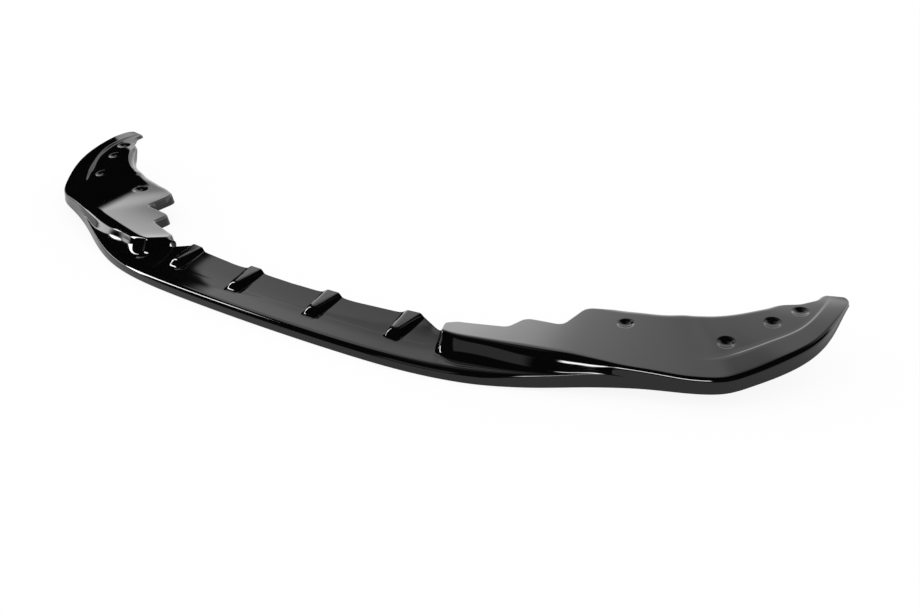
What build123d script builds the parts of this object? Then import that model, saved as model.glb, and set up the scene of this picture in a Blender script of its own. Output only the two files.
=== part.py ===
from bisect import bisect_right
from math import atan, cos, degrees, hypot, radians, sin, tan
import os

from build123d import *

# One thermoformed sheet. X runs across the car, -Y is the front and Z is up. Heights are drawn from the
# lowest edge of the front face, the +X half is modelled and mirrored, and the finished lip is moved so
# that the seat on the centre shelf is the origin.
sheet = 3.6
seat_at = 70.0

# Plan of the front face, from the centre line round the corner to the end of the ear.
face_plan = ((0, -54), (200, -50), (390, -28.5), (515, 15), (630, 70), (780, 131),
             (826, 171), (865, 229), (893, 290), (902, 350), (899, 460))

# Plan of the rear edge at the height of the wing with the radius of each corner:
# shelf, notch, three tabs, rear curve, ear and its rounded end.
rear_plan = ((-5, 48, 0), (150, 51, 300), (294, 65, 25), (338, 50, 12), (355, 78, 12), (439, 102, 14),
             (445, 149, 14), (514, 151, 14), (518, 228, 22), (560, 246, 60), (640, 262, 250), (734, 300, 200),
             (803, 374, 40), (826, 387, 25), (846, 412, 25), (851, 442, 16), (908, 442, 30), (916, 385, 0))
rear_lean = 12.0
rear_level = 60.0
ear_from = (812, 300)
ear_sheet_from = 1105.0
face_end = 1175.0

# Wall at the front of the wing, from its inner end to the tail where it has run out: share of that run,
# height of the nose, distances of the wall's foot and top from the face.
wall_from = 391.0
tail = 651.0
wall_run = ((0, 20, 32, 48), (0.25, 21, 27, 42), (0.51, 25.5, 13, 25), (0.745, 30.5, 3.5, 7), (1, 38, 0.5, 1))
wall_at = [wall_from + (tail - wall_from) * row[0] for row in wall_run]
nose, wall_foot, wall_top = [list(zip(wall_at, column)) for column in list(zip(*wall_run))[1:]]

# Sizes of the cross section along the front face: distance from the centre line, value.
aim = ((0, 90), (391, 116), (651, 115), (720, 117), (790, 124), (874, 137), (943, 149), (1011, 161),
       (1072, 174), (1180, 180))
reach = ((0, 260), (560, 260), (651, 215), (720, 200), (874, 178), (943, 158), (1011, 143), (1072, 124),
         (1180, 112))
bottom = ((0, 0), (430, 0), (523, 4), (651, 15), (720, 20), (835, 22.5), (893, 31.3), (965, 43.7),
          (1020, 56.5), (1070, 71), (1100, 85), (1130, 91), (1180, 92))
crest = ((391, 60.5), (460, 61), (523, 61.5), (585, 60.5), (651, 55.5), (720, 51.5), (790, 47), (835, 47),
         (874, 53), (943, 67.5), (1011, 79.5), (1072, 92), (1110, 98), (1140, 100.5), (1180, 101))
pitch = ((391, -0.16), (460, -0.12), (523, -0.07), (585, -0.01), (651, 0.04), (720, 0.1), (790, 0.15),
         (835, 0.185), (874, 0.16), (943, 0.1), (1011, 0.06), (1072, -0.02), (1110, -0.12), (1150, -0.3))
border = ((352, 106), (651, 52), (835, 50), (943, 46), (1072, 32), (1180, 30))
roll_from = ((391, 225), (585, 215), (651, 180), (720, 167), (835, 162), (874, 153), (943, 132), (1011, 118),
             (1045, 108), (1072, 100), (1180, 88))
flange = ((391, 34), (440, 21), (1011, 20), (1045, 18), (1072, 11), (1100, 5), (1180, 4.5))
trim_from = ((391, 80), (456, 80), (523, 70), (651, 50), (1060, 30), (1110, -15), (1180, -15))
step = ((560, 0), (700, 1.4), (800, 2.4), (1060, 2.6), (1125, 0.6), (1180, 0))

# Slopes, bends and rounds of the section.
face_lean = 1.2
shelf_slope = 0.107
shelf_bend = 50.0
shelf_rear_bend = (82.0, 32.5)
shelf_rear_slope = 0.33
rear_fall = 0.7
rear_roll = 11.0
tail_run = 150.0
end_wall_at = 378.0
end_wall_run = 13.0
nose_round = 11.5
cove_round = 16.0
roll_round = 9.0
step_run = 6.0
round_parts = (3, 2, 3, 1, 1, 3)
below = -30.0
above = 150.0
room_low = 28.0
room_high = 104.0
trim_start = 330.0
trim_end = 1180.0

# Fins: distance from the centre line, front of the top edge, height there, rear end.
fins = ((95.4, 0, 40, 58), (267.6, 12.6, 41.2, 71))
fin_front_top = 17.0
fin_front_foot = 62.0
fin_front_run = 27.0
fin_rear_top = 30.0
fin_rear_foot = 84.0
fin_depth = 25.0
fin_pitch = 7.0
fin_chamfer = 3.0

# Screw dimples in the wing: centre in plan.
dimples = ((840, 359), (811.5, 308.5), (764.8, 230.6), (601.5, 206.5))
dimple_rim = 13.5
dimple_back = 11.5
dimple_back_taper = 25.0
dimple_sides = 8
dimple_depth = 5.5


def law(knots, s):
    places = [k[0] for k in knots]
    values = [k[1] for k in knots]
    if s <= places[0]:
        return values[0]
    if s >= places[-1]:
        return values[-1]
    rates = [(values[i + 1] - values[i]) / (places[i + 1] - places[i]) for i in range(len(knots) - 1)]
    tangents = [0.0]
    for a, b in zip(rates, rates[1:]):
        tangents.append(0.0 if a * b <= 0 else 2 * a * b / (a + b))
    tangents.append(0.0)
    i = bisect_right(places, s) - 1
    run = places[i + 1] - places[i]
    t = (s - places[i]) / run
    near = (1 + 2 * t) * (1 - t) ** 2 * values[i] + t * (1 - t) ** 2 * run * tangents[i]
    far = t * t * (3 - 2 * t) * values[i + 1] + t * t * (t - 1) * run * tangents[i + 1]
    return near + far


def rise(s):
    t = min(max((s - end_wall_at) / (2 * end_wall_run) + 0.5, 0), 1)
    return t * t * t * (t * (6 * t - 15) + 10)


def mix(a, b, share):
    return a + (b - a) * share


def top_height(s, d):
    return law(crest, s) + law(pitch, s) * (d - law(wall_top, s))


def front_shelf_height(d):
    return law(nose, 0) + shelf_slope * (d - face_lean)


def shelf_corner(d):
    return (d, shelf_rear_bend[1] + shelf_rear_slope * (d - shelf_rear_bend[0]))


def corners(s, gap, flat):
    far = law(reach, s)
    low = law(bottom, s)
    bend = (shelf_bend, front_shelf_height(shelf_bend))
    if flat:
        return [(0, low), (face_lean, law(nose, s)), bend, shelf_rear_bend, shelf_corner(far)]
    lift = rise(s - gap)
    past_tail = min(max((s - tail) / tail_run, 0), 1)
    past_tail = past_tail * past_tail * (3 - 2 * past_tail)
    lean = face_lean * (1 - 0.5 * past_tail)
    tall = law(crest, s) - low
    lip = mix(law(nose, s), low + 0.2 * tall, past_tail)
    foot = mix(law(nose, s) + shelf_slope * law(wall_foot, s) + 1, low + 0.4 * tall, past_tail)
    drop = law(step, s)
    edge = law(border, s)
    roll = law(roll_from, s)
    roll_height = top_height(s, roll) - drop
    shelf = [bend, shelf_rear_bend] + [shelf_corner(d) for d in (edge, edge + step_run, roll, far)]
    wing = [(lean + law(wall_foot, s), foot), (lean + law(wall_top, s), law(crest, s))]
    wing.append((edge, top_height(s, edge)))
    wing.append((edge + step_run, top_height(s, edge + step_run) - drop))
    wing.append((roll, roll_height))
    wing.append((far, roll_height - rear_fall * (far - roll)))
    points = [(0, low), (lean, lip)]
    for a, b in zip(shelf, wing):
        points.append((mix(a[0], b[0], lift), mix(a[1], b[1], lift)))
    return points


def heading(a, b):
    length = hypot(b[0] - a[0], b[1] - a[1])
    return ((b[0] - a[0]) / length, (b[1] - a[1]) / length)


def inset(points, gap):
    moved = []
    for i, p in enumerate(points):
        a = heading(points[i - 1], p) if i else heading(p, points[1])
        b = heading(p, points[i + 1]) if i + 1 < len(points) else a
        share = gap / (1 + a[0] * b[0] + a[1] * b[1])
        moved.append((p[0] + (a[1] + b[1]) * share, p[1] - (a[0] + b[0]) * share))
    return moved


def setbacks(points, gap):
    runs = [hypot(b[0] - a[0], b[1] - a[1]) for a, b in zip(points, points[1:])]
    lip = min(nose_round, 0.45 * runs[1], 0.8 * runs[0])
    cove = min(cove_round, 0.5 * runs[1], 0.5 * runs[2])
    roll = min(roll_round, 0.45 * runs[2], 0.45 * runs[3])
    sizes = [lip, cove, roll]
    if len(points) > 5:
        sizes += [0, 0, min(rear_roll, 0.45 * runs[6])]
    if gap:
        sizes = [0.45 * size for size in sizes]
    return sizes


def arcs(first, corner, last, count):
    cuts = [i / count for i in range(count + 1)]

    def bent(a, b):
        shares = ((1 - a) * (1 - b), a + b - 2 * a * b, a * b)
        return tuple(sum(w * p[k] for w, p in zip(shares, (first, corner, last))) for k in (0, 1))

    return [(bent(a, a), bent(a, b), bent(b, b)) for a, b in zip(cuts, cuts[1:])]


def section(s, gap, flat):
    origin = face_edge.position_at(s, position_mode=PositionMode.LENGTH)
    angle = radians(law(aim, s))
    inward = Vector(cos(angle), sin(angle), 0)

    def at(p):
        return origin + inward * p[0] + Vector(0, 0, p[1])

    points = corners(s, gap, flat)
    sizes = setbacks(points, gap)
    if gap:
        points = inset(points, gap)
        points[0] = (points[0][0], below)
    edges = []
    start = points[0]
    for i, size in enumerate(sizes, 1):
        back = heading(points[i], points[i - 1])
        on = heading(points[i], points[i + 1])
        first = (points[i][0] + back[0] * size, points[i][1] + back[1] * size)
        last = (points[i][0] + on[0] * size, points[i][1] + on[1] * size)
        edges.append(Edge.make_line(at(start), at(first)))
        if size and gap:
            edges.append(Edge.make_line(at(first), at(last)))
        elif size:
            parts = arcs(first, points[i], last, round_parts[i - 1])
            edges += [Edge.make_bezier(*[at(p) for p in arc]) for arc in parts]
        start = last
    far_low = (points[-1][0], below if gap else 0)
    edges.append(Edge.make_line(at(start), at(points[-1])))
    edges.append(Edge.make_line(at(points[-1]), at(far_low)))
    edges.append(Edge.make_line(at(far_low), at(points[0])))
    return Wire(edges)


def spread(first, last, count):
    return [first + (last - first) * i / (count - 1) for i in range(count)]


def block(span, gap):
    flat = span[-1] <= end_wall_from
    sections = [section(s, gap, flat) for s in span]
    body = Solid.make_loft(sections, ruled=False)
    if body.volume < 0:
        body = Solid.make_loft(sections[::-1], ruled=False)
    return body


def rear_wire(gap, level):
    gap += (level - rear_level) * tan(radians(rear_lean))
    points = [p[:2] for p in rear_plan]
    rounds = []
    for i in range(1, len(points) - 1):
        a = heading(points[i - 1], points[i])
        b = heading(points[i], points[i + 1])
        turn = a[0] * b[1] - a[1] * b[0]
        rounds.append(max(rear_plan[i][2] + (gap if turn > 0 else -gap), 1))
    path = Pos(0, 0, level) * FilletPolyline(*inset(points, gap), radius=rounds)
    start = path @ 0
    end = path @ 1
    side = end.X + 60
    front = face_plan[0][1] - 100
    middle = start.X - 15
    outside = [(side, end.Y), (side, front), (middle, front), (middle, start.Y)]
    close = Polyline(end, *[(x, y, level) for x, y in outside], start)
    return Wire(path.edges() + close.edges())


def rear_room(gap):
    low = rear_wire(gap, room_low)
    high = rear_wire(gap, room_high)
    leaning = Solid.make_loft([low, high], ruled=True)
    upright = extrude(Face(low), amount=below - 20 - room_low, dir=(0, 0, 1))
    return leaning + upright


def trim_section(s):
    origin = face_edge.position_at(s, position_mode=PositionMode.LENGTH)
    angle = radians(law(aim, s))
    inward = Vector(cos(angle), sin(angle), 0)
    near = law(trim_from, s)
    far = law(reach, s) + 40
    drop = law(step, s) + law(flange, s)
    points = [(near, top_height(s, near) - drop), (far, top_height(s, far) - drop)]
    points += [(far, below - 10), (near, below - 10)]
    return Wire.make_polygon([origin + inward * d + Vector(0, 0, z) for d, z in points], close=True)


def fin(at, gap):
    x, y, z, rear = at
    slack = 0.4 * gap
    ends = ((y + slack, fin_front_top, fin_front_foot, fin_front_run),
            (rear + 2 * gap, fin_rear_top, fin_rear_foot, 0))
    sections = []
    for place, top, foot, run in ends:
        crown = z - gap + (place - y) * tan(radians(fin_pitch))
        half_top = top / 2 - slack
        half_foot = foot / 2 - slack
        points = [(x - half_top, place, crown), (x + half_top, place, crown)]
        points += [(x + half_foot, place - run, crown - fin_depth), (x - half_foot, place - run, crown - fin_depth)]
        sections.append(Wire.make_polygon([Vector(*p) for p in points], close=True))
    body = Solid.make_loft(sections, ruled=True)
    if gap == 0:
        crown_face = body.faces().sort_by(Axis.Z)[-1]
        sides = crown_face.edges().sort_by(Axis.Y)[:-1]
        body = chamfer(sides, fin_chamfer)
    return body.solids()[0]


def dimple(skin, at):
    hits = skin.find_intersection_points(Axis((at[0], at[1], above), (0, 0, -1)))
    point, normal = max(hits, key=lambda hit: hit[0].Z)
    if normal.Z < 0:
        normal = normal * -1
    ball = (dimple_rim ** 2 + dimple_depth ** 2) / (2 * dimple_depth)
    centre = point + normal * (ball - dimple_depth)
    cup = Pos(centre) * Rot(90, 0, 0) * Sphere(ball)
    seat = Plane(origin=point - normal * (dimple_depth + sheet), z_dir=normal)
    foot = seat * RegularPolygon(dimple_back, dimple_sides, major_radius=False)
    back = extrude(foot, amount=dimple_depth + sheet, taper=-dimple_back_taper)
    return cup, back


face_points = [Vector(x, y, 0) for x, y in face_plan]
face_edge = Edge.make_spline(face_points, tangents=[Vector(1, 0, 0), Vector(-0.1, 1, 0)])
end_wall_from = end_wall_at - 2 * end_wall_run
end_wall_to = end_wall_at + 2 * end_wall_run
centre_stations = 4
end_wall_stations = 7
wing_stations = 13


def tub_spans(gap):
    last = ear_sheet_from if gap else face_end
    centre = spread(0, end_wall_from, centre_stations)
    end_wall = spread(end_wall_from, end_wall_to, end_wall_stations)
    return (centre, end_wall, spread(end_wall_to, last, wing_stations))


def tub(gap):
    room = rear_room(gap)
    if gap:
        notch = rear_plan[3][0]
        centre = Pos(notch / 2 - 10, 0, 0) * Box(notch + 20, 900, 400)
        ear = Pos(ear_from[0] + 100, ear_from[1] + 200, 0) * Box(200, 400, 400)
        room = room + centre + ear
    blocks = [(block(span, gap) & room).solids().sort_by(SortBy.VOLUME)[-1] for span in tub_spans(gap)]
    return blocks[0].fuse(*blocks[1:]).solids().sort_by(SortBy.VOLUME)[-1]


outer = tub(0)
cups = [dimple(outer, at) for at in dimples]
trim = Solid.make_loft([trim_section(s) for s in spread(trim_start, trim_end, 18)], ruled=False)
outer = outer - trim
inner = tub(sheet)
for at in fins:
    outer = outer + fin(at, 0)
    inner = inner + fin(at, sheet)
for cup, back in cups:
    outer = outer - cup
    inner = inner - back
half = outer - inner
seat_share = (seat_at - shelf_bend) / (shelf_rear_bend[0] - shelf_bend)
seat_height = mix(front_shelf_height(shelf_bend), shelf_rear_bend[1], seat_share)
half = Pos(0, -face_plan[0][1] - seat_at, -seat_height) * half
splitter_lip = half + mirror(half, Plane.YZ)

os.makedirs("parts", exist_ok=True)
export_step(splitter_lip, "parts/splitter_lip.step")
print(splitter_lip.is_valid, len(splitter_lip.solids()), splitter_lip.bounding_box())
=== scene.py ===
from math import cos, degrees, radians, sin

import bmesh
import bpy
import numpy as np
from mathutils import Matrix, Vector


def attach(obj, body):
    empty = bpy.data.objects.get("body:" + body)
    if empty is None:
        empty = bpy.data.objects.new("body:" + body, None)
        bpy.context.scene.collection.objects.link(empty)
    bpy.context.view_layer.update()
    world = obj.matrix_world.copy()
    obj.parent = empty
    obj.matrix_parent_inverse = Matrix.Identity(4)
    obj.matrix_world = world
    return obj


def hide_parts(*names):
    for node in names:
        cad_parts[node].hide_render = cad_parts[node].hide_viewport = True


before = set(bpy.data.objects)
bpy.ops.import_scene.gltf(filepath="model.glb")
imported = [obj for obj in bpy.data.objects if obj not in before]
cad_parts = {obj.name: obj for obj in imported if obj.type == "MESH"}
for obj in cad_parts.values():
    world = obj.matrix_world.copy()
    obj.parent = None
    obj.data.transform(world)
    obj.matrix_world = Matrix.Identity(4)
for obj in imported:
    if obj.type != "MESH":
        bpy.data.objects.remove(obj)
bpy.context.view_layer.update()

print("frame loaded:", list(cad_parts))

# drawn in millimetres: heights from the lowest front edge, s along the front face from the centre line,
# d inward from the face, then moved so that the seat on the shelf is the origin
mould = {
    "seat": (0, 16, 29.7706),
    "alongEnd": 1180,
    "alongStep": 0.5,
    "facePlan": ((0, -54), (200, -50), (390, -28.5), (515, 15), (630, 70), (720, 105.5), (770, 126),
                 (797, 143), (826, 173.5), (865, 229), (893, 290), (902, 350), (899, 460)),
    "faceStart": (1, 0),
    "faceFinish": (-0.1, 1),
    # rear edge in plan with the radius of each corner: shelf, notch, tabs, rear curve, ear
    "rearPlan": ((-5, 52, 0), (150, 55, 300), (294, 68.5, 25), (337.5, 51.5, 12), (354, 79.5, 12),
                 (437.5, 103, 14), (444, 150.5, 14), (514, 151, 14), (518, 228, 22), (560, 246, 60),
                 (640, 262, 250), (735.5, 298, 200), (806.5, 369.5, 40), (830, 382.5, 25),
                 (852, 409.5, 25), (855, 435.8, 14), (905, 435.8, 0)),
    "faceSteps": 6000,
    "arcSteps": 13,
    "faceLean": 1.2,
    "leanLoss": 0.5,
    "shelfSlope": 0.107,
    "shelfBends": ((50, 0.121), (82, 0.102)),
    "shelfRound": 26,
    "shelfRearSlope": 0.33,
    "rearFall": 0.7,
    "rearRoll": 7,
    "rearRound": 5,
    "rearLean": 12,
    "tail": 651,
    "tailRun": 150,
    "tailLip": 0.2,
    "tailFoot": 0.4,
    "footRise": 1,
    "endWallAt": 380,
    "endWallRun": 18,
    "noseRound": 11.5,
    "coveRound": 15,
    "wallCove": 21,
    "rollRound": 14,
    "stepRun": 6,
    "earEnd": 434.1,
    "earCorner": 20,
    "earRoll": 3.5,
    "earRollShare": 0.95,
    "notch": 338,
    "notchBlend": (-4, 10),
    "shelfHem": 1.5,
    "leastBorder": 9,
    "leastTop": 4,
    "leastBand": 1,
    "leastFlange": 2,
    "sheet": 3.6,
    "soften": 10,
    "edgeSoften": 1.5,
    # how much of a stretch a rounding may take
    "shares": {"lip": 0.45, "face": 0.8, "cove": 0.5, "roll": 0.48},
}
# how the sections change along the front face: knots of s and value
laws = {
    "aim": ((0, 90), (296, 90), (391, 116), (651, 115), (720, 117), (790, 124), (874, 137), (943, 149),
            (1011, 161), (1072, 174), (1180, 180)),
    "bottom": ((0, 0.3), (430, 0.3), (523, 4), (651, 15), (720, 20), (835, 22.5), (893, 31.3), (965, 43.7),
               (1020, 56.5), (1070, 71), (1100, 85), (1130, 91), (1180, 92)),
    "nose": ((0, 20), (391, 20), (456, 21), (523, 25.5), (585, 30.5), (651, 38)),
    "wallFoot": ((340, 31), (378, 45), (391, 38), (408, 31), (456, 26), (523, 12.5), (585, 3.5),
                 (651, 0.5)),
    "wallTop": ((340, 46), (378, 58), (391, 52), (408, 46), (456, 41), (523, 28.5), (585, 16),
                (630, 10.2), (651, 7.8), (675, 2.5), (700, 1)),
    "crest": ((391, 60.5), (460, 61), (523, 61.5), (585, 60.5), (651, 55.5), (720, 51.5), (790, 47),
              (835, 47), (874, 53), (943, 67.5), (1011, 79.5), (1072, 91.5), (1110, 96.5), (1140, 97.8),
              (1180, 98)),
    "pitch": ((391, -0.16), (460, -0.12), (523, -0.07), (585, -0.01), (651, 0.04), (720, 0.1), (790, 0.15),
              (835, 0.168), (874, 0.154), (943, 0.1), (1011, 0.06), (1072, -0.02), (1110, -0.08),
              (1150, -0.1)),
    "border": ((0, 62), (391, 66), (651, 52), (835, 50), (943, 46), (1072, 32), (1180, 30)),
    # how far before the rear edge the top starts to fall
    "fall": ((391, -14), (590, -14), (651, 2), (690, 8), (1045, 8), (1072, 2), (1090, -14), (1180, -14)),
    "flange": ((391, 34), (440, 21), (1011, 20), (1045, 18), (1072, 11), (1100, 5), (1180, 4.5)),
    "step": ((600, 0), (790, 0), (860, 1), (900, 2), (1060, 2.4), (1125, 0.6), (1180, 0)),
}
# fins on the shelf: distance from the centre line, front of the top, height there, rear end
fins = {
    "places": ((95.4, 0, 40, 58), (267.6, 12.6, 41.2, 71)),
    "halfFront": 14,
    "halfRear": 20,
    "flankFront": 4,
    "flankRear": 2,
    "noseSlope": 1.2,
    "noseRound": 4,
    "pitch": 0.123,
    "crownRound": 9.5,
    "cornerPower": 2.5,
    "footBlend": 4,
    "tailReach": 4,
    "tailBlend": (0.6, 1.6),
}
dimples = {
    "places": ((840, 359), (811.5, 308.5), (764.8, 230.6), (601.5, 206.5)),
    "rim": 14,
    "rimRound": 1.6,
    "depth": 5,
}
# bands of the sheet from the lowest front edge to the rear, counted by the whole part of q
bands = {"shelf": 2, "roll": 5, "rearRoll": 9, "flange": 10}
# limits for finding where a section meets the rear edge
meeting = {"parallel": 1e-9, "slack": 1e-6, "nearest": 5, "missed": 1e6}
along = np.arange(0, mould["alongEnd"] + mould["alongStep"], mould["alongStep"])


def smoothstep(low, high, x):
    t = np.clip((x - low) / (high - low), 0, 1)
    return t * t * (3 - 2 * t)


def ramp(x, width):  # nought, then a slope of one, with a soft bend between
    bend = np.clip(x + width, 0, 2 * width) ** 2 / (4 * width)
    return bend + np.maximum(x - width, 0)


def blend(a, b, share):
    return a + (b - a) * share


def softMax(a, b, reach):
    near = np.maximum(reach - np.abs(a - b), 0) / reach
    return np.maximum(a, b) + near * near * reach / 4


def hermite(t, run, a, b, slopeA, slopeB):
    near = (1 + 2 * t) * (1 - t) ** 2 * a + t * (1 - t) ** 2 * run * slopeA
    far = t * t * (3 - 2 * t) * b + t * t * (t - 1) * run * slopeB
    return near + far


def law(knots, at):
    places, values = np.array(knots, float).T
    rates = np.diff(values) / np.diff(places)
    before, after = rates[:-1], rates[1:]
    rising = before * after > 0
    tangents = np.zeros(len(places))
    tangents[1:-1][rising] = 2 * before[rising] * after[rising] / (before[rising] + after[rising])
    at = np.clip(at, places[0], places[-1])
    i = np.clip(np.searchsorted(places, at, side="right") - 1, 0, len(places) - 2)
    run = places[i + 1] - places[i]
    t = (at - places[i]) / run
    return hermite(t, run, values[i], values[i + 1], tangents[i], tangents[i + 1])


def soften(values, width):
    step = mould["alongStep"]
    reach = np.arange(-4 * width, 4 * width + step, step)  # four widths to each side
    weights = np.exp(-0.5 * (reach / width) ** 2)
    padded = np.pad(values, len(reach) // 2, mode="edge")
    return np.convolve(padded, weights / weights.sum(), mode="valid")


def facePath():
    points = np.array(mould["facePlan"], float)
    places = np.concatenate([[0], np.cumsum(np.hypot(*np.diff(points, axis=0).T))])
    runs = np.diff(places)
    count = len(points)
    left = np.eye(count)
    right = np.zeros((count, 2))
    right[0] = mould["faceStart"]
    right[-1] = np.array(mould["faceFinish"]) / np.hypot(*mould["faceFinish"])
    for i in range(1, count - 1):
        left[i, i - 1:i + 2] = runs[i], 2 * (runs[i - 1] + runs[i]), runs[i - 1]
        right[i] = 3 * (runs[i] * (points[i] - points[i - 1]) / runs[i - 1]
                        + runs[i - 1] * (points[i + 1] - points[i]) / runs[i])
    slopes = np.linalg.solve(left, right)
    at = np.linspace(0, places[-1], mould["faceSteps"])
    i = np.clip(np.searchsorted(places, at, side="right") - 1, 0, count - 2)
    run = runs[i][:, None]
    t = ((at - places[i]) / runs[i])[:, None]
    curve = hermite(t, run, points[i], points[i + 1], slopes[i], slopes[i + 1])
    length = np.concatenate([[0], np.cumsum(np.hypot(*np.diff(curve, axis=0).T))])
    return np.interp(along, length, curve[:, 0]), np.interp(along, length, curve[:, 1])


def rearPath():
    corners = [Vector(corner[:2]) for corner in mould["rearPlan"]]
    line = [corners[0]]
    for i in range(1, len(corners) - 1):
        back = (corners[i - 1] - corners[i]).normalized()
        on = (corners[i + 1] - corners[i]).normalized()
        turn = back.angle(on) / 2
        radius = mould["rearPlan"][i][2]
        middle = corners[i] + (back + on).normalized() * radius / sin(turn)
        first = corners[i] + back * radius * cos(turn) / sin(turn)
        last = corners[i] + on * radius * cos(turn) / sin(turn)
        for t in np.linspace(0, 1, mould["arcSteps"]):
            spoke = (first - middle).normalized().slerp((last - middle).normalized(), t)
            line.append(middle + spoke * radius)
    line.append(corners[-1])
    return np.array(line)


def meetRear():  # how far each section goes to the rear edge, and which way that edge faces
    aim = np.radians(table["aim"])[:, None]
    rayX, rayY = np.cos(aim), np.sin(aim)
    rear = rearPath()
    runX, runY = np.diff(rear, axis=0).T
    gapX = rear[:-1, 0] - table["faceX"][:, None]
    gapY = rear[:-1, 1] - table["faceY"][:, None]
    cross = rayX * runY - rayY * runX
    cross = np.where(np.abs(cross) < meeting["parallel"], meeting["parallel"], cross)
    reach = (gapX * runY - gapY * runX) / cross
    share = (gapX * rayY - gapY * rayX) / cross
    onRun = (share >= -meeting["slack"]) & (share <= 1 + meeting["slack"])
    hit = np.where(onRun & (reach > meeting["nearest"]), reach, meeting["missed"])
    struck = np.argmin(hit, axis=1)
    length = np.hypot(runX, runY)[struck]
    outX = soften(-runY[struck] / length, mould["edgeSoften"])
    outY = soften(runX[struck] / length, mould["edgeSoften"])
    return hit[np.arange(len(along)), struck], outX, outY


table = {name: soften(law(knots, along), mould["soften"]) for name, knots in laws.items()}
table["faceX"], table["faceY"] = facePath()
table["reach"], table["outX"], table["outY"] = meetRear()
lastColumn = along[np.searchsorted(table["faceY"], mould["earEnd"])]
print("ear ends at", lastColumn, "reach there", np.interp(lastColumn, along, table["reach"]))


def read(name, s):
    return np.interp(s, along, table[name])


def towards(a, b, size):
    length = np.hypot(b[0] - a[0], b[1] - a[1])
    return a[0] + (b[0] - a[0]) / length * size, a[1] + (b[1] - a[1]) / length * size


def apart(a, b):
    return np.hypot(b[0] - a[0], b[1] - a[1])


def least(*values):
    return np.minimum.reduce(np.broadcast_arrays(*values))


def curved(a, b, c, t):
    return tuple((1 - t) ** 2 * p + 2 * t * (1 - t) * q + t * t * r for p, q, r in zip(a, b, c))


def straight(a, b, t):
    return blend(a[0], b[0], t), blend(a[1], b[1], t)


def finHeight(x, y):
    top = np.full_like(x, -np.inf)
    for place, front, high, tail in fins["places"]:
        share = np.clip((y - front) / (tail - front), 0, 1)
        half = blend(fins["halfFront"], fins["halfRear"], share)
        flank = blend(fins["flankFront"], fins["flankRear"], share)
        flankDrop = flank * ramp(np.abs(np.abs(x) - place) - half, fins["crownRound"])
        noseDrop = fins["noseSlope"] * ramp(front - y, fins["noseRound"])
        crown = high + fins["pitch"] * np.maximum(y - front, -fins["noseRound"])
        power = fins["cornerPower"]
        drop = (flankDrop ** power + noseDrop ** power) ** (1 / power)
        top = np.maximum(top, crown - drop)
    return top


def dimpleDepth(x, y):
    sunk = np.zeros_like(x)
    for px, py in dimples["places"]:
        away = np.hypot(np.abs(x) - px, y - py) / dimples["rim"]
        bowl = dimples["depth"] * (1 - away * away)
        sunk += ramp(bowl, dimples["rimRound"])
    return sunk


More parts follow.
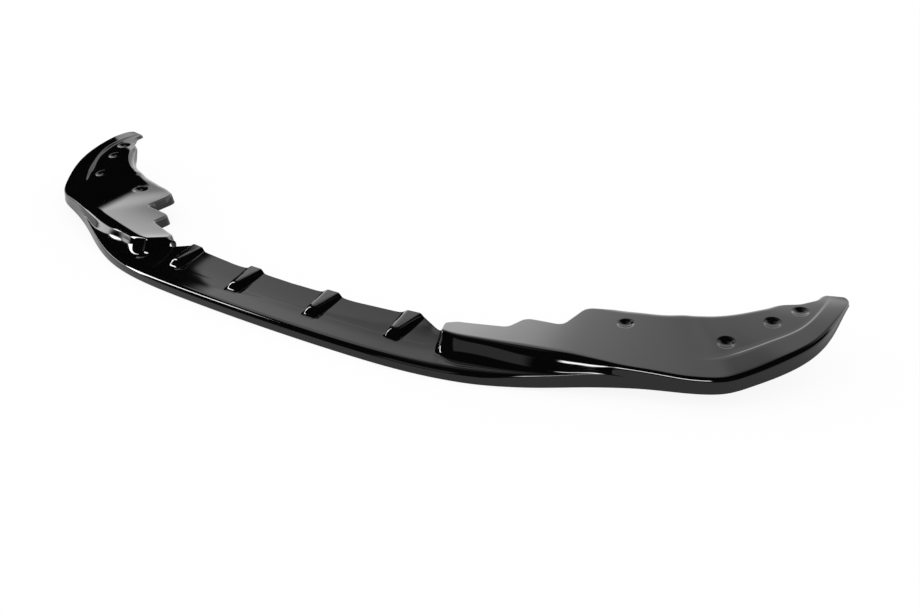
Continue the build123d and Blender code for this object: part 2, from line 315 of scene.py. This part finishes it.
def skin(s, q):
    m, share = mould, mould["shares"]
    faceX, faceY = read("faceX", s), read("faceY", s)
    angle = np.radians(read("aim", s))
    inX, inY = np.cos(angle), np.sin(angle)
    low, crest, pitch, edge = (read(name, s) for name in ("bottom", "crest", "pitch", "border"))
    nose, wallFoot, wallTop = (read(name, s) for name in ("nose", "wallFoot", "wallTop"))
    lift = np.clip((s - m["endWallAt"]) / m["endWallRun"] + 0.5, 0, 1)
    lift = lift ** 3 * (lift * (6 * lift - 15) + 10)  # eased at both ends
    pastTail = smoothstep(m["tail"], m["tail"] + m["tailRun"], s)
    lean = m["faceLean"] * (1 - m["leanLoss"] * pastTail)
    lip = blend(nose, blend(low, crest, m["tailLip"]), pastTail)
    foot = nose + m["shelfSlope"] * wallFoot + m["footRise"]
    foot = blend(foot, blend(low, crest, m["tailFoot"]), pastTail)
    wallStart, wingTop = lean + wallFoot, lean + wallTop

    # how far the skin goes, and how much of it turns down at the rear
    far = read("reach", s)
    hitX = faceX + inX * far
    turned = smoothstep(m["notchBlend"][0], m["notchBlend"][1], hitX - m["notch"])
    for place, *_ in fins["places"]:
        aside = np.abs(hitX - place) / fins["halfRear"]
        far = far + fins["tailReach"] * (1 - smoothstep(*fins["tailBlend"], aside))
    rearEdge = far - (1 - turned) * (m["rearRound"] + m["shelfHem"])
    rearStart = rearEdge - m["rearRound"]
    edge = np.minimum(edge, rearStart - m["leastBorder"])
    rollAt = far - read("fall", s)

    def shelfHeight(d):
        high = laws["nose"][0][1] + m["shelfSlope"] * (d - m["faceLean"])
        for place, more in m["shelfBends"]:
            high = high + more * ramp(d - place, m["shelfRound"])
        return high

    def topHeight(d):
        wing = crest + pitch * (d - wingTop) - read("step", s) * smoothstep(edge, edge + m["stepRun"], d)
        wing = wing - (m["rearFall"] + pitch) * ramp(d - rollAt, m["rearRoll"])
        return blend(shelfHeight(d), wing, lift)

    lowEdge = (np.zeros_like(s), low)
    nosePeak = (lean, lip)
    wallBase = (wallStart, blend(shelfHeight(wallStart), foot, lift))
    wallPeak = (wingTop, blend(shelfHeight(wingTop), crest, lift))
    topEnd = np.maximum(edge, wingTop + m["leastTop"])
    topSpot = (topEnd, topHeight(topEnd))
    face, shelf = apart(lowEdge, nosePeak), apart(nosePeak, wallBase)
    wall, top = apart(wallBase, wallPeak), apart(wallPeak, topSpot)
    lipRound = least(m["noseRound"], share["lip"] * shelf, share["face"] * face)
    coveRound = least(m["coveRound"], share["cove"] * shelf)
    wallCove = least(m["wallCove"], share["cove"] * wall, share["face"] * shelf)
    rollRound = least(m["rollRound"], share["roll"] * wall, share["roll"] * top)
    noseIn, noseOut = towards(nosePeak, lowEdge, lipRound), towards(nosePeak, wallBase, lipRound)
    coveIn, coveOut = towards(wallBase, nosePeak, coveRound), towards(wallBase, wallPeak, wallCove)
    rollIn, rollOut = towards(wallPeak, wallBase, rollRound), towards(wallPeak, topSpot, rollRound)
    edge = np.maximum(edge, rollOut[0] + m["leastBand"])
    stepEnd = np.minimum(edge + m["stepRun"], rearStart - m["leastBand"])

    span = np.minimum(np.floor(q), bands["flange"])
    t = q - span
    chain = [straight(lowEdge, noseIn, t), curved(noseIn, nosePeak, noseOut, t),
             straight(noseOut, coveIn, t), curved(coveIn, wallBase, coveOut, t),
             straight(coveOut, rollIn, t), curved(rollIn, wallPeak, rollOut, t)]
    for a, b in ((rollOut[0], edge), (edge, stepEnd), (stepEnd, rearStart)):
        chain.append((blend(a, b, t), topHeight(blend(a, b, t))))
    inBand = [span == i for i in range(len(chain))]
    d, z = (np.select(inBand, [point[k] for point in chain], 0) for k in (0, 1))

    # rounded outer corner of the ear
    pastCorner = np.maximum(s - lastColumn + m["earCorner"], 0)
    cornerIn = m["earCorner"] - np.sqrt(np.maximum(m["earCorner"] ** 2 - pastCorner ** 2, 0))
    d = np.where(span < bands["rearRoll"], cornerIn + d * (rearStart - cornerIn) / rearStart, d)
    x, y = faceX + inX * d, faceY + inY * d

    # roll and flange at the rear
    tilt = radians(m["rearLean"])
    plane = crest + pitch * (rearEdge - wingTop) - read("step", s)
    drop = np.maximum(topHeight(rearEdge) - plane + read("flange", s), m["leastFlange"])
    drop = blend(m["shelfHem"], drop / cos(tilt) - m["rearRound"], turned)
    drop = np.maximum(drop, m["leastBand"])
    ahead = np.stack([inX, inY, np.full_like(s, m["shelfRearSlope"])])
    down = np.stack([read("outX", s) * sin(tilt), read("outY", s) * sin(tilt), np.full_like(s, -cos(tilt))])
    way = blend(ahead / np.linalg.norm(ahead, axis=0), down / np.linalg.norm(down, axis=0), turned)
    way = way / np.linalg.norm(way, axis=0)
    start = np.stack([faceX + inX * rearStart, faceY + inY * rearStart, topHeight(rearStart)])
    corner = np.stack([faceX + inX * rearEdge, faceY + inY * rearEdge, topHeight(rearEdge)])
    end = corner + way * m["rearRound"]
    rolled = np.stack(curved(start, corner, end, t))
    hung = end + way * drop * t
    onRoll, onFlange = span == bands["rearRoll"], span == bands["flange"]
    x, y, z = (np.select([onRoll, onFlange], [a, b], p) for a, b, p in zip(rolled, hung, (x, y, z)))

    # ear rolled over at its end
    pastRoll = m["earRollShare"] * np.maximum(s - lastColumn + m["earRoll"], 0)
    sunk = m["earRoll"] - np.sqrt(m["earRoll"] ** 2 - pastRoll ** 2)
    z = z - sunk * np.minimum(q / bands["roll"], 1)

    onTop = q >= bands["shelf"]
    z = np.where(onTop, softMax(z, finHeight(x, y), fins["footBlend"]), z)
    z = np.where(onTop, z - dimpleDepth(x, y), z)
    return x, y, z


sheetGrid = {
    # columns of the flat sheet: start, spacing
    "columns": ((0, 10), (68, 1.5), (86, 4.5), (104, 1.5), (122, 10), (240, 1.5), (258, 4.5), (276, 1.5),
                (296, 8), (366, 1.2), (394, 3), (420, 4.5), (660, 7), (1090, 3.5), (1140, 1.6)),
    # rows of each band, from the lowest front edge to the end of the rear flange
    "rows": (3, 8, 9, 8, 5, 10, 8, 4, 15, 6, 2),
    "rearBand": 8,
    "rearCrowd": 1.5,
    "dimpleReach": 19,
    "dimpleCuts": 4,
    "sharpAngle": 50,
    "weld": 0.00001,
}


def sheetColumns():
    starts = [start for start, _ in sheetGrid["columns"]] + [lastColumn]
    places = []
    for (start, spacing), stop in zip(sheetGrid["columns"], starts[1:]):
        count = max(int(round((stop - start) / spacing)), 1)
        places += list(np.linspace(start, stop, count, endpoint=False))
    places.append(lastColumn)
    half = np.array(places)
    return np.concatenate([-half[:0:-1], half])


def sheetRows():
    places = [0.0]
    for band, count in enumerate(sheetGrid["rows"]):
        shares = (np.arange(count) + 1) / count
        if band == sheetGrid["rearBand"]:
            shares = 1 - (1 - shares) ** sheetGrid["rearCrowd"]
        places += list(band + shares)
    return np.array(places)


def drawSheet():
    columns, rows = sheetColumns(), sheetRows()
    bm = bmesh.new()
    bmesh.ops.create_grid(bm, x_segments=len(columns) - 1, y_segments=len(rows) - 1, size=1)
    for v in bm.verts:
        v.co.x = columns[int(round((v.co.x + 1) / 2 * (len(columns) - 1)))]
        v.co.y = rows[int(round((v.co.y + 1) / 2 * (len(rows) - 1)))]

    def plan(places):
        flat = np.array([place[:2] for place in places])
        x, y, z = skin(np.abs(flat[:, 0]), flat[:, 1])
        return x * np.where(flat[:, 0] < 0, -1, 1), y, z

    # finer mesh where a dimple is formed
    faces = [f for f in bm.faces if f.calc_center_median().y > bands["shelf"]]
    x, y, _ = plan([f.calc_center_median() for f in faces])
    chosen = set()
    for px, py in dimples["places"]:
        near = np.hypot(np.abs(x) - px, y - py) < sheetGrid["dimpleReach"]
        for i in np.nonzero(near)[0]:
            chosen.update(faces[i].edges)
    bmesh.ops.subdivide_edges(bm, edges=list(chosen), cuts=sheetGrid["dimpleCuts"], use_grid_fill=True)
    x, y, z = plan([v.co for v in bm.verts])
    for v, place in zip(bm.verts, (np.stack((x, y, z), 1) - mould["seat"]) / 1000):
        v.co = place
    bmesh.ops.remove_doubles(bm, verts=bm.verts, dist=sheetGrid["weld"])
    bmesh.ops.recalc_face_normals(bm, faces=bm.faces)
    top = max(bm.faces, key=lambda f: f.calc_center_median().z)
    if top.normal.z < 0:
        bmesh.ops.reverse_faces(bm, faces=bm.faces)
    for f in bm.faces:
        f.smooth = True
    for e in bm.edges:
        e.smooth = not e.is_boundary and e.calc_face_angle(0) < radians(sheetGrid["sharpAngle"])
    mesh = bpy.data.meshes.new("splitterSkin")
    bm.to_mesh(mesh)
    bm.free()
    piece = bpy.data.objects.new("splitterSkin", mesh)
    bpy.context.collection.objects.link(piece)
    wall = piece.modifiers.new("sheetThickness", "SOLIDIFY")
    wall.thickness = mould["sheet"] / 1000
    wall.offset = -1
    return piece


class Wire:
    def __init__(self, tree, socket):
        self.tree = tree
        self.socket = socket

    def node(self, kind, settings=None, **values):
        made = self.tree.nodes.new(kind)
        for name, value in (settings or {}).items():
            setattr(made, name, value)
        for name, value in values.items():
            key = int(name[1:]) if name[0] == "i" and name[1:].isdigit() else name.replace("_", " ")
            target = made.inputs[key]
            if isinstance(value, Wire):
                self.tree.links.new(value.socket, target)
            else:
                target.default_value = value
        return made

    def out(self, kind, settings=None, output=0, **values):
        return Wire(self.tree, self.node(kind, settings, **values).outputs[output])

    def maths(self, operation, *values):
        inputs = {"i%d" % i: value for i, value in enumerate(values)}
        return self.out("ShaderNodeMath", {"operation": operation}, **inputs)

    def __add__(self, other):
        return self.maths("ADD", self, other)

    __radd__ = __add__

    def __sub__(self, other):
        return self.maths("SUBTRACT", self, other)

    def __rsub__(self, other):
        return self.maths("SUBTRACT", other, self)

    def __mul__(self, other):
        return self.maths("MULTIPLY", self, other)

    __rmul__ = __mul__

    def band(self, low, high, soft):  # one between low and high, with soft ends
        return self.step(low - soft, low + soft) * (1 - self.step(high - soft, high + soft))

    def step(self, low, high):
        return self.out("ShaderNodeMapRange", {"interpolation_type": "SMOOTHSTEP"},
                        Value=self, From_Min=low, From_Max=high)


def emptyTree(block):
    block.use_nodes = True
    block.node_tree.nodes.clear()
    return Wire(block.node_tree, None)


def rayKinds(start):
    kinds = start.node("ShaderNodeLightPath").outputs
    names = ("Is Camera Ray", "Is Glossy Ray", "Is Transmission Ray")
    return [Wire(start.tree, kinds[name]) for name in names]


gloss = {
    "deep": (0.0012, 0.0012, 0.0013, 1),
    "pale": (0.0026, 0.0026, 0.0028, 1),
    "ior": 1.5,
    "roughness": 0.03,
    "roughnessSpread": 0.035,
    # scale and detail of each noise
    "cloud": (9, 3),
    "peel": (260, 2),
    "swell": (16, 1),
    "peelHeight": 0.008,
    "swellHeight": 0.25,
    "bumpStrength": 0.25,
    "bumpDistance": 0.0012,
}


def glossMaterial():
    material = bpy.data.materials.new("glossBlackSheet")
    start = emptyTree(material)
    place = start.out("ShaderNodeTexCoord", output="Object")

    def noise(name):
        scale, detail = gloss[name]
        return start.out("ShaderNodeTexNoise", Vector=place, Scale=scale, Detail=detail)

    cloud = noise("cloud")
    colour = start.out("ShaderNodeMix", {"data_type": "RGBA"}, output=2,
                       i0=cloud, i6=gloss["deep"], i7=gloss["pale"])
    height = noise("swell") * gloss["swellHeight"] + noise("peel") * gloss["peelHeight"]
    bump = start.out("ShaderNodeBump", Strength=gloss["bumpStrength"], Distance=gloss["bumpDistance"],
                     Height=height)
    shader = start.out("ShaderNodeBsdfPrincipled", Base_Color=colour, IOR=gloss["ior"], Normal=bump,
                       Roughness=cloud * gloss["roughnessSpread"] + gloss["roughness"])
    start.node("ShaderNodeOutputMaterial", Surface=shader)
    return material


print("drawing the sheet over the mould")
lip = drawSheet()
lip.data.materials.append(glossMaterial())
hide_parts("splitter_lip")
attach(lip, "root")
print("sheet:", 2 * sum(len(f.vertices) - 2 for f in lip.data.polygons), "triangles in its two sides")

studio = {
    "white": (1, 1, 1, 1),
    "floorGap": 0.0004,
    "floorSize": 12,
    "floorGlow": 0.68,
    "floorPaint": 0.9,
    "horizon": (-1.5, 0),
    "fill": 1,
}
# what the gloss shows of the studio, in degrees: bearing seen from above, nought towards the front, and
# height; a pair is a soft edge, three values are the ends of a stretch and their softness
backWall = {
    "ends": ((-125.3, -123.9), (128, 134)),
    "all": (-5, 55, 7),
    "middle": (-5, 38, 5),
    "low": (-5, 25, 5),
    "glow": 1.3,
    "lowGlow": 0.55,
    "side": (-143, -135),
    "sideLoss": 0.45,
}
upperPanel = {
    "bearing": (-124.6, -96, 1),
    "top": (53, 59),
    "slant": 0.57,
    "lowerEdge": (102.6, 103.4),
    "glow": 1.1,
}
# bearing, height and strength of each lamp
lamps = {
    "haze": ((-128, -90, 6), (60, 76, 4), 0.25),
    "frontPanel": ((-26, -2, 2), (6, 25, 3), 0.5),
    "uprightLeft": ((-69.5, -61, 0.8), (6, 43, 1.5), 20),
    "wideRight": ((10, 43, 2), (23, 34, 1.5), 24),
    "lowLeft": ((-92, -69.5, 2), (0.8, 6, 1), 4),
}


def studioWorld():
    world = bpy.data.worlds.new("studio")
    start = emptyTree(world)
    ray = start.out("ShaderNodeNewGeometry", output="Position")
    parts = start.node("ShaderNodeSeparateXYZ", Vector=ray)
    x, y, z = (Wire(start.tree, parts.outputs[i]) for i in range(3))
    bearing = x.maths("ARCTAN2", x, y * -1) * degrees(1)
    height = z.maths("ARCSINE", z) * degrees(1)
    leftEnd, rightEnd = backWall["ends"]
    behind = 1 - bearing.step(*leftEnd) + bearing.step(*rightEnd)
    loss = bearing.step(*backWall["side"]) * backWall["sideLoss"]
    wall = height.band(*backWall["all"]) * (backWall["glow"] - loss)
    wall = wall + height.band(*backWall["middle"]) * loss
    wall = wall + height.band(*backWall["low"]) * backWall["lowGlow"]
    upper = bearing.band(*upperPanel["bearing"]) * (1 - height.step(*upperPanel["top"]))
    upper = upper * (height - bearing * upperPanel["slant"]).step(*upperPanel["lowerEdge"])
    glow = behind * wall + upper * upperPanel["glow"]
    for across, upright, strength in lamps.values():
        glow = glow + bearing.band(*across) * height.band(*upright) * strength
    below = 1 - height.step(*studio["horizon"])
    glow = glow * (1 - below) + below * studio["floorGlow"]
    seen, glossy, clear = rayKinds(start)
    plain = seen.maths("MAXIMUM", seen, clear)
    strength = plain + (1 - plain) * (glossy * glow + (1 - glossy) * studio["fill"])
    shine = start.out("ShaderNodeBackground", Color=studio["white"], Strength=strength)
    start.node("ShaderNodeOutputWorld", Surface=shine)
    bpy.context.scene.world = world


def studioFloor():
    bm = bmesh.new()
    bmesh.ops.create_grid(bm, x_segments=1, y_segments=1, size=studio["floorSize"] / 2)
    high = -mould["seat"][2] / 1000 - studio["floorGap"]
    bmesh.ops.translate(bm, verts=bm.verts, vec=(0, 0, high))
    mesh = bpy.data.meshes.new("floor")
    bm.to_mesh(mesh)
    bm.free()
    floor = bpy.data.objects.new("floor", mesh)
    bpy.context.collection.objects.link(floor)
    material = bpy.data.materials.new("whiteFloor")
    start = emptyTree(material)
    seen, glossy, clear = rayKinds(start)
    lit = start.out("ShaderNodeBsdfDiffuse", Color=studio["white"])
    glow = start.out("ShaderNodeEmission", Color=studio["white"], Strength=1.0)
    dim = start.out("ShaderNodeEmission", Color=studio["white"], Strength=studio["floorGlow"])
    paint = studio["floorPaint"]  # the rest of the floor takes the object's shadow
    plain = seen.maths("MAXIMUM", seen, clear)
    inSight = start.out("ShaderNodeMixShader", i0=plain * paint, i1=lit, i2=glow)
    surface = start.out("ShaderNodeMixShader", i0=glossy * paint, i1=inSight, i2=dim)
    start.node("ShaderNodeOutputMaterial", Surface=surface)
    floor.data.materials.append(material)


view = {
    "place": (1.203, -1.186, 0.7742),
    "bearing": 34.1,
    "height": 25.7,
    "lens": 39.13,
    "sensor": 36,
    "far": 50,
}


def photoCamera():
    turn, tip = radians(view["bearing"]), radians(view["height"])
    back = Vector((sin(turn) * cos(tip), -cos(turn) * cos(tip), sin(tip)))
    data = bpy.data.cameras.new("photoCamera")
    data.lens = view["lens"]
    data.sensor_width = view["sensor"]
    data.clip_end = view["far"]
    camera = bpy.data.objects.new("photoCamera", data)
    camera.location = view["place"]
    camera.rotation_euler = (-back).to_track_quat("-Z", "Y").to_euler()
    bpy.context.collection.objects.link(camera)
    bpy.context.scene.camera = camera


studioWorld()
studioFloor()
photoCamera()
bpy.context.scene.view_settings.view_transform = "Standard"
print("studio ready")
